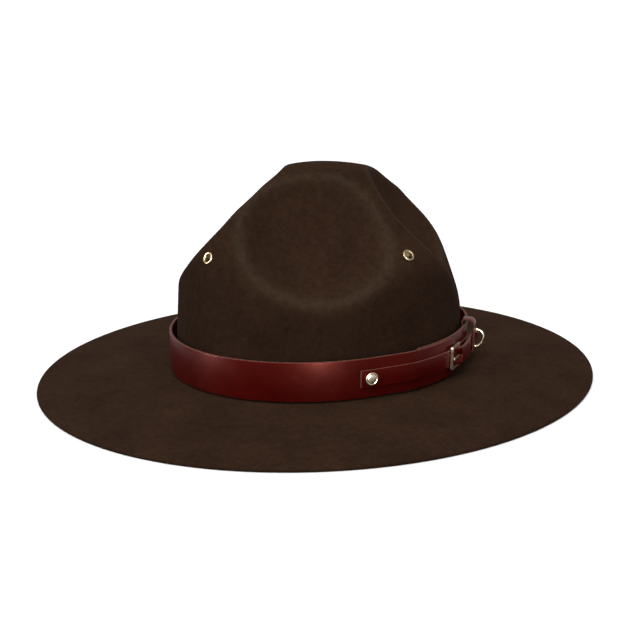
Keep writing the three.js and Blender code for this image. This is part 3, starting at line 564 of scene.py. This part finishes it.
def felt_body():
    """Crown and brim, one closed skin: down the outside, round the brim's edge and up the inside."""
    turns = np.arange(FELT_COLUMNS) / FELT_COLUMNS * 2 * math.pi
    core_height = SHOULDER_HEIGHT / 2
    core = np.array([0, 0, core_height])
    foot = oval(turns, CROWN_HALF_WIDTH, CROWN_HALF_LENGTH, 0)
    outward = foot / np.linalg.norm(foot, axis=1)[:, None]

    def crown_ring(elevation, depth):
        along = outward * math.cos(elevation) + UP * math.sin(elevation)
        return cast_to_felt(core, along, depth)

    def wall_ring(z, out):
        inset = wall_inset(z)
        return oval(turns, CROWN_HALF_WIDTH - inset + out, CROWN_HALF_LENGTH - inset + out, z)

    def flare_ring(share, radius, bottom, out):
        angle = share * math.pi / 2
        return wall_ring(bottom + radius * (1 - math.sin(angle)), out + radius * (1 - math.cos(angle)))

    def brim_ring(share, z):
        half_width = lerp(CROWN_HALF_WIDTH + FLARE_RADIUS, BRIM_HALF_WIDTH, share)
        half_length = lerp(CROWN_HALF_LENGTH + FLARE_RADIUS, BRIM_HALF_LENGTH, share)
        return oval(turns, half_width, half_length, z)

    brim_width = BRIM_HALF_LENGTH - CROWN_HALF_LENGTH - FLARE_RADIUS
    rest_share = 1 - BRIM_REST_WIDTH / brim_width
    blend_share = 1 - (BRIM_REST_WIDTH + BRIM_REST_BLEND) / brim_width
    edge_radius = FELT_THICKNESS / 2
    edge_share = 1 - edge_radius / brim_width
    elevations = np.linspace(0, math.pi / 2, CROWN_ROWS + 1)[1:-1]
    flare_top = BRIM_RISE + FLARE_RADIUS
    flare_shares = np.linspace(0, 1, FLARE_ROWS + 1)
    wall_heights = np.linspace(core_height, flare_top, WALL_ROWS + 1)[:-1]
    brim_shares = np.linspace(0, edge_share, BRIM_ROWS)[1:]
    under_shares = brim_shares[brim_shares < blend_share - ROW_MARGIN]
    edge_angles = np.linspace(math.pi / 2, -math.pi / 2, EDGE_ROWS + 2)[1:]

    def edge_ring(angle):
        middle = brim_top(1) / 2
        share = 1 - edge_radius * (1 - math.cos(angle)) / brim_width
        return brim_ring(share, middle + middle * math.sin(angle))

    def rest_ring(share):
        z = lerp(brim_top(blend_share) - FELT_THICKNESS, 0, smoothstep(share, 0, 1))
        return brim_ring(lerp(blend_share, rest_share, share), z)

    outside = [
        *[crown_ring(elevation, 0) for elevation in elevations[::-1]],
        *[wall_ring(z, 0) for z in wall_heights],
        *[flare_ring(share, FLARE_RADIUS, BRIM_RISE, 0) for share in flare_shares],
        *[brim_ring(share, brim_top(share)) for share in brim_shares],
        *[edge_ring(angle) for angle in edge_angles],
    ]
    inner_flare = FLARE_RADIUS + FELT_THICKNESS
    inside = [
        *[rest_ring(share) for share in np.linspace(0, 1, REST_ROWS + 1)[::-1]],
        *[brim_ring(share, brim_top(share) - FELT_THICKNESS) for share in under_shares[::-1]],
        *[flare_ring(share, inner_flare, BRIM_RISE - FELT_THICKNESS, -FELT_THICKNESS)
          for share in flare_shares[::-1]],
        *[wall_ring(z, -FELT_THICKNESS) for z in wall_heights[::-1]],
        *[crown_ring(elevation, FELT_THICKNESS) for elevation in elevations],
    ]
    poles = cast_to_felt(core, np.array([UP, UP]), np.array([0, FELT_THICKNESS]))
    rings = outside + inside
    points = uneven(np.vstack([*rings, poles]))
    faces = ring_faces(len(rings), FELT_COLUMNS, False)
    top = len(points) - 2
    last = (len(rings) - 1) * FELT_COLUMNS
    for i in range(FELT_COLUMNS):
        j = (i + 1) % FELT_COLUMNS
        faces.append((top, j, i))
        faces.append((top + 1, last + i, last + j))
    # paler rims on the outside only: worn nap and a painted highlight
    rims = rim_wear_and_highlight_share(points)
    rims[len(outside) * FELT_COLUMNS:] = 0
    piece = make_mesh("felt_hat", points, faces, FELT, rims)
    cut_away(piece, *[eyelet_cutter(matrix) for matrix in EYELETS.values()])
    return stand_for(piece, "felt_body", "hat")


# Turned pieces

ON_AXIS = 0.01                       # radius of the small flat with which a turned end closes


def turned(name, profile, matrix, material, sides=48, closed=False):
    """A piece turned about its own z axis from (radius, height) points. An open profile ends on the axis."""
    angles = np.arange(sides) / sides * 2 * math.pi
    rings = []
    for radius, height in profile:
        heights = np.full(sides, float(height))
        circle = np.stack([radius * np.cos(angles), radius * np.sin(angles), heights], -1)
        rings.append(placed(circle, matrix))
    return loft(name, rings, material, closed)


def eyelet_place(ridge):
    """Frame with z straight out of the felt, beside the ridge that stands `ridge` degrees from the front."""
    turn = math.radians(ridge + EYELET_TURN)
    along = np.array([[math.sin(turn), -math.cos(turn), 0]])
    outer = cast_to_felt(np.array([0, 0, EYELET_HEIGHT]), along, 0)[0]
    rotation = Vector((0, 0, 1)).rotation_difference(Vector(felt_normal(outer))).to_matrix().to_4x4()
    return np.array(Matrix.Translation(Vector(outer)) @ rotation)


EYELETS = {
    "eyelet_front": eyelet_place(0),
    "eyelet_left": eyelet_place(90),
    "eyelet_rear": eyelet_place(180),
    "eyelet_right": eyelet_place(270),
}


def eyelet_cutter(matrix):
    reach = FELT_THICKNESS * 2
    radius = EYELET_BARREL_RADIUS + PIECE_GAP / 2
    return turned("cutter", [(radius, -reach), (radius, reach)], matrix, FELT)


def node_span(node, matrix):
    """Lowest and highest place of a node along the z axis of `matrix`."""
    points = np.array([v.co for v in cad_nodes[node].data.vertices], float) / METRES
    heights = (points - matrix[:3, 3]) @ matrix[:3, 2]
    return heights.min(), heights.max()


ROLL_HEIGHT = 0.7
ROLL_STEPS = 12


def eyelet(node, matrix):
    """A barrel with a rolled flange outside and inside."""
    bottom, top = node_span(node, matrix)
    middle = (EYELET_HOLE_RADIUS + EYELET_FLANGE_RADIUS) / 2
    half = (EYELET_FLANGE_RADIUS - EYELET_HOLE_RADIUS) / 2
    roll = ROLL_HEIGHT
    angles = half_turn(ROLL_STEPS)
    over = [(middle - half * math.cos(a), top - roll + roll * math.sin(a)) for a in angles]
    under = [(middle + half * math.cos(a), bottom + roll - roll * math.sin(a)) for a in angles]
    barrel = [(EYELET_BARREL_RADIUS, top - roll), (EYELET_BARREL_RADIUS, bottom + roll)]
    piece = turned("dressed_" + node, [*over, *barrel, *under], matrix, EYELET_BRASS, closed=True)
    return stand_for(piece, node, "hat")


# Places on the band

ARC_STEPS = 2880
ARC_TURNS = np.linspace(0, 2 * math.pi, ARC_STEPS + 1)
ARC_POINTS = oval(ARC_TURNS, CROWN_HALF_WIDTH, CROWN_HALF_LENGTH, 0)
ARC_LENGTHS = np.concatenate([[0], np.cumsum(np.linalg.norm(np.diff(ARC_POINTS, axis=0), axis=1))])
FOOT_LENGTH = ARC_LENGTHS[-1]


def outward_at(arc):
    """The turn at an arc length round the crown's foot, and the way out of the felt there."""
    turn = np.interp(arc % FOOT_LENGTH, ARC_LENGTHS, ARC_TURNS)
    outward = np.array([CROWN_HALF_LENGTH * math.sin(turn), -CROWN_HALF_WIDTH * math.cos(turn), 0])
    return turn, unit(outward)


def band_point(arc, out, z):
    turn, outward = outward_at(arc)
    return oval(turn, CROWN_HALF_WIDTH, CROWN_HALF_LENGTH, z) + outward * out


def band_frame(arc, out, z):
    """Frame with x along the band, y up and z outward."""
    outward = outward_at(arc)[1]
    matrix = np.eye(4)
    matrix[:3, 0] = np.cross(UP, outward)
    matrix[:3, 1] = UP
    matrix[:3, 2] = outward
    matrix[:3, 3] = band_point(arc, out, z)
    return matrix


BAND_LIFT = FLARE_RADIUS - math.sqrt(
    (FLARE_RADIUS - PIECE_GAP) ** 2 - (FLARE_RADIUS - BAND_STANDOFF) ** 2
)
BAND_TOP = BRIM_RISE + BAND_LIFT + BAND_WIDTH
STRAP_HEIGHT = BAND_TOP - BAND_WIDTH / 2
LAP_STEP = BAND_THICKNESS + PIECE_GAP
LAP_END = BAND_LAP_START + BAND_LAP_LENGTH
HEEL_BAR_ARC = BUCKLE_FRONT_BAR + BUCKLE_LENGTH


def band_inner(arc):
    """How far the band's inner face stands out from the crown's foot."""
    climb_end = FOOT_LENGTH + BAND_LAP_START - LAP_MARGIN
    return BAND_STANDOFF + LAP_STEP * smoothstep(arc, climb_end - BAND_LAP_RAMP, climb_end)


def strap_seat(arc):
    """How far out the narrow straps lie on the band, which is doubled along its lap."""
    climb_end = BAND_LAP_START - LAP_MARGIN
    up = smoothstep(arc, climb_end - BAND_LAP_RAMP, climb_end) if arc < LAP_END else 0
    return BAND_STANDOFF + BAND_THICKNESS + PIECE_GAP + LAP_STEP * up


HEEL_BAR_OUT = strap_seat(HEEL_BAR_ARC) + HEEL_BAR_STAND + CHAPE_THICKNESS + PIECE_GAP + HEEL_BAR_RADIUS
CHAPE_FOLD_HALF = HEEL_BAR_RADIUS + PIECE_GAP + CHAPE_THICKNESS
BILLET_OVER_HEEL = HEEL_BAR_OUT + CHAPE_FOLD_HALF + PIECE_GAP
FRONT_BAR_OUT = strap_seat(BUCKLE_FRONT_BAR) + BILLET_THICKNESS + PIECE_GAP + BUCKLE_THICKNESS / 2
KEEPER_START = HEEL_BAR_ARC + KEEPER_SETBACK
KEEPER_END = KEEPER_START + KEEPER_WIDTH
BILLET_END = KEEPER_END + BILLET_TAIL
STUD_ARC = BILLET_START + STUD_SETBACK
RING_BAR_ARC = KEEPER_END + RING_SETBACK
RING_FOLD_RADIUS = RING_WIRE_RADIUS + RING_CLEARANCE + CHAPE_THICKNESS / 2
RING_BAR_OUT = (
    strap_seat(RING_BAR_ARC)
    + (RING_FOLD_RADIUS + CHAPE_THICKNESS / 2) * math.cos(math.radians(RING_LEAN))
    + CHAPE_WIDTH / 2 * math.sin(math.radians(RING_LEAN))
)


def billet_inner(arc):
    """How far out the narrow strap's inner face lies: on the band, over the heel bar, on the chape."""
    rise = smoothstep(arc, BUCKLE_FRONT_BAR + BUCKLE_BAR_WIDTH, HEEL_BAR_ARC - SLOPE_MARGIN)
    fall = smoothstep(arc, HEEL_BAR_ARC + CHAPE_FOLD_HALF, KEEPER_START - SLOPE_MARGIN)
    over_chape = strap_seat(arc) + 2 * (CHAPE_THICKNESS + PIECE_GAP)
    if arc > HEEL_BAR_ARC:
        return lerp(BILLET_OVER_HEEL, over_chape, fall)
    return lerp(strap_seat(min(arc, BUCKLE_FRONT_BAR)), BILLET_OVER_HEEL, rise)


def buckle_place():
    """Frame with x from the front bar to the heel bar and z outward, and the space between the bars."""
    front = band_point(BUCKLE_FRONT_BAR, FRONT_BAR_OUT, STRAP_HEIGHT)
    heel = band_point(HEEL_BAR_ARC, HEEL_BAR_OUT, STRAP_HEIGHT)
    matrix = np.eye(4)
    matrix[:3, 0] = unit(heel - front)
    matrix[:3, 1] = UP
    matrix[:3, 2] = np.cross(unit(heel - front), UP)
    matrix[:3, 3] = front
    return matrix, np.linalg.norm(heel - front)


BUCKLE, BAR_SPACING = buckle_place()


# Leather

CORNER_STEPS = 4
BAND_STEP = 1.6
STRAP_STEP = 0.8
TIP_STEPS = 15
FOLD_STEPS = 12
CURVE_STEPS = 10
TIP_CORNER = 0.9                     # most that a tip's rounding takes of the strip's half width
BAND_EDGE_RADIUS = 0.45
BILLET_EDGE_RADIUS = 0.35
CHAPE_EDGE_RADIUS = 0.3
KEEPER_EDGE_RADIUS = 0.4
END_BEVEL = 0.3                      # share of the edge's radius that a strip's end is bevelled by
END_CORNER = 0.9                     # share of the edge's radius that is left at a strip's end
END_RIM = 0.9                        # how far the bevel takes the look of a cut edge


def strap_section(half_thick, half_wide, radius):
    """Round-cornered section: (through, across) offsets, and 1 where a point is on a cut edge."""
    offsets, edges = [], []
    corners = [(-1, -1, 180), (1, -1, 270), (1, 1, 0), (-1, 1, 90)]
    for through, across, start in corners:
        for angle in np.radians(np.linspace(start, start + 90, CORNER_STEPS + 1)):
            through_place = through * (half_thick - radius) + radius * math.cos(angle)
            across_place = across * (half_wide - radius) + radius * math.sin(angle)
            offsets.append((through_place, across_place))
            edges.append(math.sin(angle) ** 2)
    return offsets, edges


def tip_half(arc, end, length, half_height):
    """Half the width of a strip whose tip is rounded over `length`."""
    away = np.clip((end - arc) / length, 0, 1)
    corner = min(length, half_height * TIP_CORNER)
    return half_height - corner * (1 - math.sqrt(1 - (1 - away) ** 2))


def tip_arcs(start, end, tip_length, step):
    """Places along a strip: even steps, then closer and closer ones towards its rounded tip."""
    tip = end - tip_length * (1 - np.sin(np.linspace(0, math.pi / 2, TIP_STEPS + 1)))
    return np.concatenate([steps(start, end - tip_length, step)[:-1], tip])


def band_strip(name, arcs, inner_at, half_at, thickness, radius):
    """A strip that follows the band, with its start and its end closed by a rounded rim."""
    rings, edges = [], []
    bevel = radius * END_BEVEL

    def section(arc, shrink, end_share):
        half = max(half_at(arc) - shrink, 2 * radius)
        corner = radius * END_CORNER if shrink else radius
        offsets, rims = strap_section(thickness / 2 - shrink, half, corner)
        middle = inner_at(arc) + thickness / 2
        ring = []
        for through, across in offsets:
            ring.append(band_point(arc, middle + through, STRAP_HEIGHT + across))
        rings.append(ring)
        edges.extend(max(rim, end_share) for rim in rims)

    section(arcs[0], radius, 1)
    section(arcs[0] + bevel, bevel, END_RIM)
    for arc in arcs:
        if arcs[0] + radius < arc < arcs[-1] - radius:
            section(arc, 0, 0)
    section(arcs[-1] - bevel, bevel, END_RIM)
    section(arcs[-1], radius, 1)
    return loft(name, rings, LEATHER, edge=edges)


def cutter_box(size, matrix):
    signs = (-1, 1)
    corners = np.array([(x, y, z) for x in signs for y in signs for z in signs]) * size / 2
    faces = [(0, 1, 3, 2), (4, 6, 7, 5), (0, 4, 5, 1), (2, 3, 7, 6), (0, 2, 6, 4), (1, 5, 7, 3)]
    return make_mesh("cutter", placed(corners, matrix), faces, LEATHER)


def shifted(matrix, x):
    moved = np.eye(4)
    moved[0, 3] = x
    return matrix @ moved


def hat_band():
    end = FOOT_LENGTH + LAP_END

    def half_at(arc):
        return tip_half(arc, end, BAND_TIP_ROUND, BAND_WIDTH / 2)

    arcs = tip_arcs(BAND_LAP_START, end, BAND_TIP_ROUND, BAND_STEP)
    piece = band_strip("leather_band", arcs, band_inner, half_at, BAND_THICKNESS, BAND_EDGE_RADIUS)
    return stand_for(piece, "hat_band", "hat")


def billet_strap():
    """The narrow strap, with a slot for the buckle's tongue."""

    def half_at(arc):
        return tip_half(arc, BILLET_END, BILLET_TIP_LENGTH, STRAP_WIDTH / 2)

    arcs = tip_arcs(BILLET_START, BILLET_END, BILLET_TIP_LENGTH, STRAP_STEP)
    piece = band_strip("leather_billet", arcs, billet_inner, half_at, BILLET_THICKNESS, BILLET_EDGE_RADIUS)
    slot_size = (TONGUE_SLOT_LENGTH, TONGUE_WIDTH + 2 * PIECE_GAP, BAND_WIDTH)
    cut_away(piece, cutter_box(slot_size, shifted(BUCKLE, BAR_SPACING * TONGUE_SLOT_PLACE)))
    return stand_for(piece, "billet_strap", "hat")


def chape_strap():
    """A closed loop: round the heel bar, along the band, round the ring's bar and back."""
    heel_radius = HEEL_BAR_RADIUS + PIECE_GAP + CHAPE_THICKNESS / 2
    ring_side = RING_BAR_ARC - RING_FOLD_RADIUS
    angles = half_turn(FOLD_STEPS)
    heel_fold = [
        (HEEL_BAR_ARC - heel_radius * math.sin(a), HEEL_BAR_OUT + heel_radius * math.cos(a)) for a in angles
    ]
    ring_fold = [
        (RING_BAR_ARC + RING_FOLD_RADIUS * math.sin(a), RING_BAR_OUT - RING_FOLD_RADIUS * math.cos(a))
        for a in angles
    ]
    between = steps(HEEL_BAR_ARC + heel_radius, ring_side, STRAP_STEP)

    def lift(arc):
        return smoothstep(arc, BILLET_END, ring_side)

    def under_layer(arc):
        on_band = strap_seat(arc) + CHAPE_THICKNESS / 2
        return arc, lerp(on_band, RING_BAR_OUT - RING_FOLD_RADIUS, lift(arc))

    def over_layer(arc):
        under_billet = billet_inner(arc) - PIECE_GAP - CHAPE_THICKNESS / 2
        return arc, lerp(under_billet, RING_BAR_OUT + RING_FOLD_RADIUS, lift(arc))

    lower = [under_layer(arc) for arc in between]
    upper = [over_layer(arc) for arc in between[::-1]]
    path = np.array([*heel_fold, *lower, *ring_fold, *upper])
    offsets, rims = strap_section(CHAPE_THICKNESS / 2, CHAPE_WIDTH / 2, CHAPE_EDGE_RADIUS)
    rings = []
    for i, (arc, out) in enumerate(path):
        along = unit(path[(i + 1) % len(path)] - path[i - 1])
        side = np.array([along[1], -along[0]])
        lean = math.radians(RING_LEAN) * lift(arc)
        ring = []
        for through, across in offsets:
            off = out + through * side[1] - RING_BAR_OUT
            leaned = RING_BAR_OUT + off * math.cos(lean) + across * math.sin(lean)
            height = STRAP_HEIGHT - off * math.sin(lean) + across * math.cos(lean)
            ring.append(band_point(arc + through * side[0], leaned, height))
        rings.append(ring)
    piece = loft("leather_chape", rings, LEATHER, closed=True, edge=rims * len(path))
    eye_radius = HEEL_BAR_RADIUS + PIECE_GAP + TONGUE_EYE_WALL
    length = eye_radius + PIECE_GAP + CHAPE_FOLD_HALF + SLOPE_MARGIN
    slot_size = (length, TONGUE_WIDTH + 2 * PIECE_GAP, 4 * CHAPE_FOLD_HALF)
    slot_middle = BAR_SPACING + eye_radius + PIECE_GAP - length / 2
    cut_away(piece, cutter_box(slot_size, shifted(BUCKLE, slot_middle)))
    return stand_for(piece, "chape_strap", "hat")


def rounded_path(corners, radii):
    """Replaces each inner corner with a curve that starts its radius before the corner."""
    path = [corners[0]]
    for before, corner, after, radius in zip(corners, corners[1:], corners[2:], radii):
        to_before, to_after = before - corner, after - corner
        reach = min(radius, np.linalg.norm(to_before) / 2, np.linalg.norm(to_after) / 2)
        start = corner + unit(to_before) * reach
        end = corner + unit(to_after) * reach
        for t in np.linspace(0, 1, CURVE_STEPS + 1):
            path.append((1 - t) ** 2 * start + 2 * t * (1 - t) * corner + t**2 * end)
    path.append(corners[-1])
    return path


def keeper_loop():
    """A leather strip from behind the band, over its top edge, down outside the straps and in under them."""
    inside = BAND_STANDOFF - PIECE_GAP - KEEPER_THICKNESS / 2
    over = BAND_TOP + KEEPER_RISE + KEEPER_THICKNESS / 2
    outside = billet_inner(KEEPER_END) + BILLET_THICKNESS + PIECE_GAP + KEEPER_THICKNESS / 2
    under = STRAP_HEIGHT - STRAP_WIDTH / 2 - PIECE_GAP - KEEPER_THICKNESS / 2
    face = BAND_STANDOFF + BAND_THICKNESS + PIECE_GAP
    corners = np.array([
        (inside, BAND_TOP - KEEPER_TUCK),
        (inside, over),
        (outside, over),
        (outside, under),
        (face, under),
    ])
    path = rounded_path(corners, [KEEPER_CORNER_RADIUS, KEEPER_ARCH_RADIUS, KEEPER_CORNER_RADIUS])
    offsets, rims = strap_section(KEEPER_THICKNESS / 2, KEEPER_WIDTH / 2, KEEPER_EDGE_RADIUS)
    middle_arc = (KEEPER_START + KEEPER_END) / 2
    rings = []
    for i, point in enumerate(path):
        along = unit(path[min(i + 1, len(path) - 1)] - path[max(i - 1, 0)])
        side = np.array([along[1], -along[0]])
        rings.append([
            band_point(middle_arc + across, point[0] + through * side[0], point[1] + through * side[1])
            for through, across in offsets
        ])
    piece = loft("leather_keeper", rings, LEATHER, edge=rims * len(path))
    return stand_for(piece, "keeper_loop", "hat")


# Metal fittings

MERGE_DISTANCE = 1e-6                # metres
FLAT_ANGLE = 1                       # degrees between facets that are really one flat face
SHARP_ANGLE = 35                     # degrees from which an edge is rounded
BEVEL_STEPS = 3
FRAME_ROUND = 0.35
TONGUE_ROUND = 0.25
STUD_SIDES = 64
STUD_POST_RADIUS = 1.5
STUD_BACK_RADIUS = 3.4
STUD_BACK_BEVEL = 0.1
STUD_RIM_STEPS = 8
STUD_DOME_STEPS = 12
WIRE_SIDES = 20
BOW_STEPS = 56
BAR_STEPS = 12
BAR_SHARE = 0.92                     # of the bar's half length, up to where the bow's corners begin

# The stud's head has a raised rim, a narrow groove and a flat-topped dome. Places are shares of the
# head's radius and height.
RIM_MIDDLE = 0.93
RIM_HALF_WIDTH = 0.07
RIM_HALF_HEIGHT = 0.36
RIM_SWEEP = 0.8                      # of half a turn round the rim's section
GROOVE = [(0.80, 0.80), (0.76, 0.62)]
DOME_RADIUS = 0.72
DOME_FOOT = 0.62
DOME_FLATNESS = 0.35                 # 1 is a round dome, less is flatter on top


def softened(node, name, width, material):
    """A node's own shape with its sharp edges rounded."""
    mesh = cad_nodes[node].data.copy()
    shape = bmesh.new()
    shape.from_mesh(mesh)
    bmesh.ops.remove_doubles(shape, verts=shape.verts, dist=MERGE_DISTANCE)
    flat = math.radians(FLAT_ANGLE)
    bmesh.ops.dissolve_limit(shape, angle_limit=flat, verts=shape.verts, edges=shape.edges)
    shape.to_mesh(mesh)
    shape.free()
    mesh.name = name
    mesh.materials.clear()
    mesh.materials.append(material)
    piece = bpy.data.objects.new(name, mesh)
    bpy.context.scene.collection.objects.link(piece)
    bevel = piece.modifiers.new("bevel", "BEVEL")
    bevel.width = width * METRES
    bevel.segments = BEVEL_STEPS
    bevel.limit_method = "ANGLE"
    bevel.angle_limit = math.radians(SHARP_ANGLE)
    mesh.polygons.foreach_set("use_smooth", np.ones(len(mesh.polygons), bool))
    shade = piece.modifiers.new("weighted", "WEIGHTED_NORMAL")
    shade.keep_sharp = True
    return stand_for(piece, node, "hat")


def stud():
    """A round back behind the band, a post through the leather, and the head."""
    matrix = band_frame(STUD_ARC, 0, STRAP_HEIGHT)
    bottom, top = node_span("stud", matrix)
    head = top - STUD_HEAD_HEIGHT
    back = BAND_STANDOFF - PIECE_GAP
    flat_radius = STUD_BACK_RADIUS - STUD_BACK_BEVEL
    rim_angles = np.linspace(0, math.pi * RIM_SWEEP, STUD_RIM_STEPS + 1)
    dome_shares = np.linspace(DOME_RADIUS, 0, STUD_DOME_STEPS + 1)[:-1]

    def on_rim(angle):
        return RIM_MIDDLE + RIM_HALF_WIDTH * math.sin(angle), RIM_HALF_HEIGHT * (1 - math.cos(angle))

    def on_dome(share):
        rise = math.cos(share / DOME_RADIUS * math.pi / 2) ** DOME_FLATNESS
        return share, DOME_FOOT + (1 - DOME_FOOT) * rise

    shares = [*map(on_rim, rim_angles), *GROOVE, *map(on_dome, dome_shares)]
    profile = [
        (ON_AXIS, bottom),
        (flat_radius, bottom),
        (STUD_BACK_RADIUS, bottom + STUD_BACK_BEVEL),
        (STUD_BACK_RADIUS, back - STUD_BACK_BEVEL),
        (flat_radius, back),
        (STUD_POST_RADIUS, back),
        (STUD_POST_RADIUS, head),
        *[(STUD_HEAD_RADIUS * out, head + STUD_HEAD_HEIGHT * up) for out, up in shares],
        (ON_AXIS, top),
    ]
    piece = turned("brass_stud", profile, matrix, BRASS, sides=STUD_SIDES)
    return stand_for(piece, "stud", "hat")


def swinging_ring():
    """A D of round wire: a bow, and a straight bar that lies in the chape's fold."""
    half = RING_BAR_LENGTH / 2
    bow = [
        (RING_REACH * max(math.cos(angle), 0) ** RING_SQUARENESS, half * math.sin(angle), 0)
        for angle in np.linspace(-math.pi / 2, math.pi / 2, BOW_STEPS + 1)
    ]
    bar = [(0, half * share, 0) for share in np.linspace(BAR_SHARE, -BAR_SHARE, BAR_STEPS + 1)]
    path = np.array([*bow, *bar], float)
    place = band_frame(RING_BAR_ARC, RING_BAR_OUT, STRAP_HEIGHT)
    matrix = place @ turn_about("X", RING_LEAN) @ turn_about("Y", -RING_SWING)
    angles = np.arange(WIRE_SIDES) / WIRE_SIDES * 2 * math.pi
    rings = []
    for i, point in enumerate(path):
        along = unit(path[(i + 1) % len(path)] - path[i - 1])
        across = np.cross(along, UP)
        offsets = np.outer(np.cos(angles), across) + np.outer(np.sin(angles), UP)
        rings.append(placed(point + RING_WIRE_RADIUS * offsets, matrix))
    piece = loft("brass_ring", rings, BRASS, closed=True)
    return stand_for(piece, "d_ring", "ring")


# Floor, light and camera

CAMERA_AZIMUTH = 44.67
CAMERA_ELEVATION = 17.66
CAMERA_DISTANCE = 0.7913             # metres
SENSOR_WIDTH = 36                    # millimetres
IMAGE_SIZE = 629
FOCAL_PIXELS = 1187
CENTRE_PIXEL = (321.2, 368.0)        # where the frame's origin shows
FLOOR_HALF = 40.0                    # metres
HIGH_LIGHT_SPREAD = 50               # degrees across the broad light in the sky
WORLD_STRENGTH = 0.62
WHITE = (1, 1, 1, 1)


def direction(azimuth, elevation):
    """The way out to a place at these angles, from the front towards the wearer's left and up."""
    a, e = math.radians(azimuth), math.radians(elevation)
    return Vector((math.sin(a) * math.cos(e), -math.cos(a) * math.cos(e), math.sin(e)))


def aimed(name, data, back, distance=0):
    """A light or camera out along `back`, turned to look at the origin."""
    thing = bpy.data.objects.new(name, data)
    thing.location = back * distance
    thing.rotation_mode = "QUATERNION"
    thing.rotation_quaternion = (-back).to_track_quat("-Z", "Y")
    bpy.context.scene.collection.objects.link(thing)
    return thing


def camera():
    data = bpy.data.cameras.new("camera")
    data.sensor_width = SENSOR_WIDTH
    data.lens = FOCAL_PIXELS / IMAGE_SIZE * data.sensor_width
    data.shift_x = (IMAGE_SIZE / 2 - CENTRE_PIXEL[0]) / IMAGE_SIZE
    data.shift_y = (CENTRE_PIXEL[1] - IMAGE_SIZE / 2) / IMAGE_SIZE
    back = direction(CAMERA_AZIMUTH, CAMERA_ELEVATION)
    bpy.context.scene.camera = aimed("camera", data, back, CAMERA_DISTANCE)


def gloss_light(name, azimuth, elevation, distance, width, height, watts):
    """A standing strip of light, which shows only as a soft highlight on the glossy pieces."""
    data = bpy.data.lights.new(name, "AREA")
    data.shape = "RECTANGLE"
    data.size = width
    data.size_y = height
    data.energy = watts
    light = aimed(name, data, direction(azimuth, elevation), distance)
    light.visible_diffuse = False


def high_light(azimuth, elevation, strength):
    """One broad light from far above, which lights the whole floor evenly."""
    data = bpy.data.lights.new("high", "SUN")
    data.angle = math.radians(HIGH_LIGHT_SPREAD)
    data.energy = strength
    aimed("high", data, direction(azimuth, elevation))


def studio():
    """A plain pale floor that fills the camera's view, a pale sky and three soft lights."""
    half = FLOOR_HALF
    corners = [(-half, -half, 0), (half, -half, 0), (half, half, 0), (-half, half, 0)]
    mesh = bpy.data.meshes.new("floor")
    mesh.from_pydata(corners, [], [(0, 1, 2, 3)])
    mesh.materials.append(floor_material())
    floor = bpy.data.objects.new("floor", mesh)
    bpy.context.scene.collection.objects.link(floor)
    floor.visible_diffuse = False
    floor.visible_glossy = False
    world = bpy.data.worlds.new("studio")
    world.use_nodes = True
    sky = world.node_tree.nodes["Background"]
    sky.inputs["Color"].default_value = WHITE
    sky.inputs["Strength"].default_value = WORLD_STRENGTH
    bpy.context.scene.world = world
    bpy.context.scene.view_settings.view_transform = "Standard"
    high_light(azimuth=25, elevation=62, strength=2.7)
    gloss_light("left_strip", azimuth=-29, elevation=11, distance=1.2, width=0.12, height=0.45, watts=26)
    gloss_light("right_strip", azimuth=58, elevation=11, distance=1.2, width=0.09, height=0.45, watts=34)


camera()
studio()
felt_body()
hat_band()
billet_strap()
chape_strap()
keeper_loop()
stud()
softened("buckle_frame", "brass_buckle", FRAME_ROUND, BRASS)
softened("buckle_tongue", "brass_tongue", TONGUE_ROUND, BRASS)
swinging_ring()
for node, matrix in EYELETS.items():
    eyelet(node, matrix)
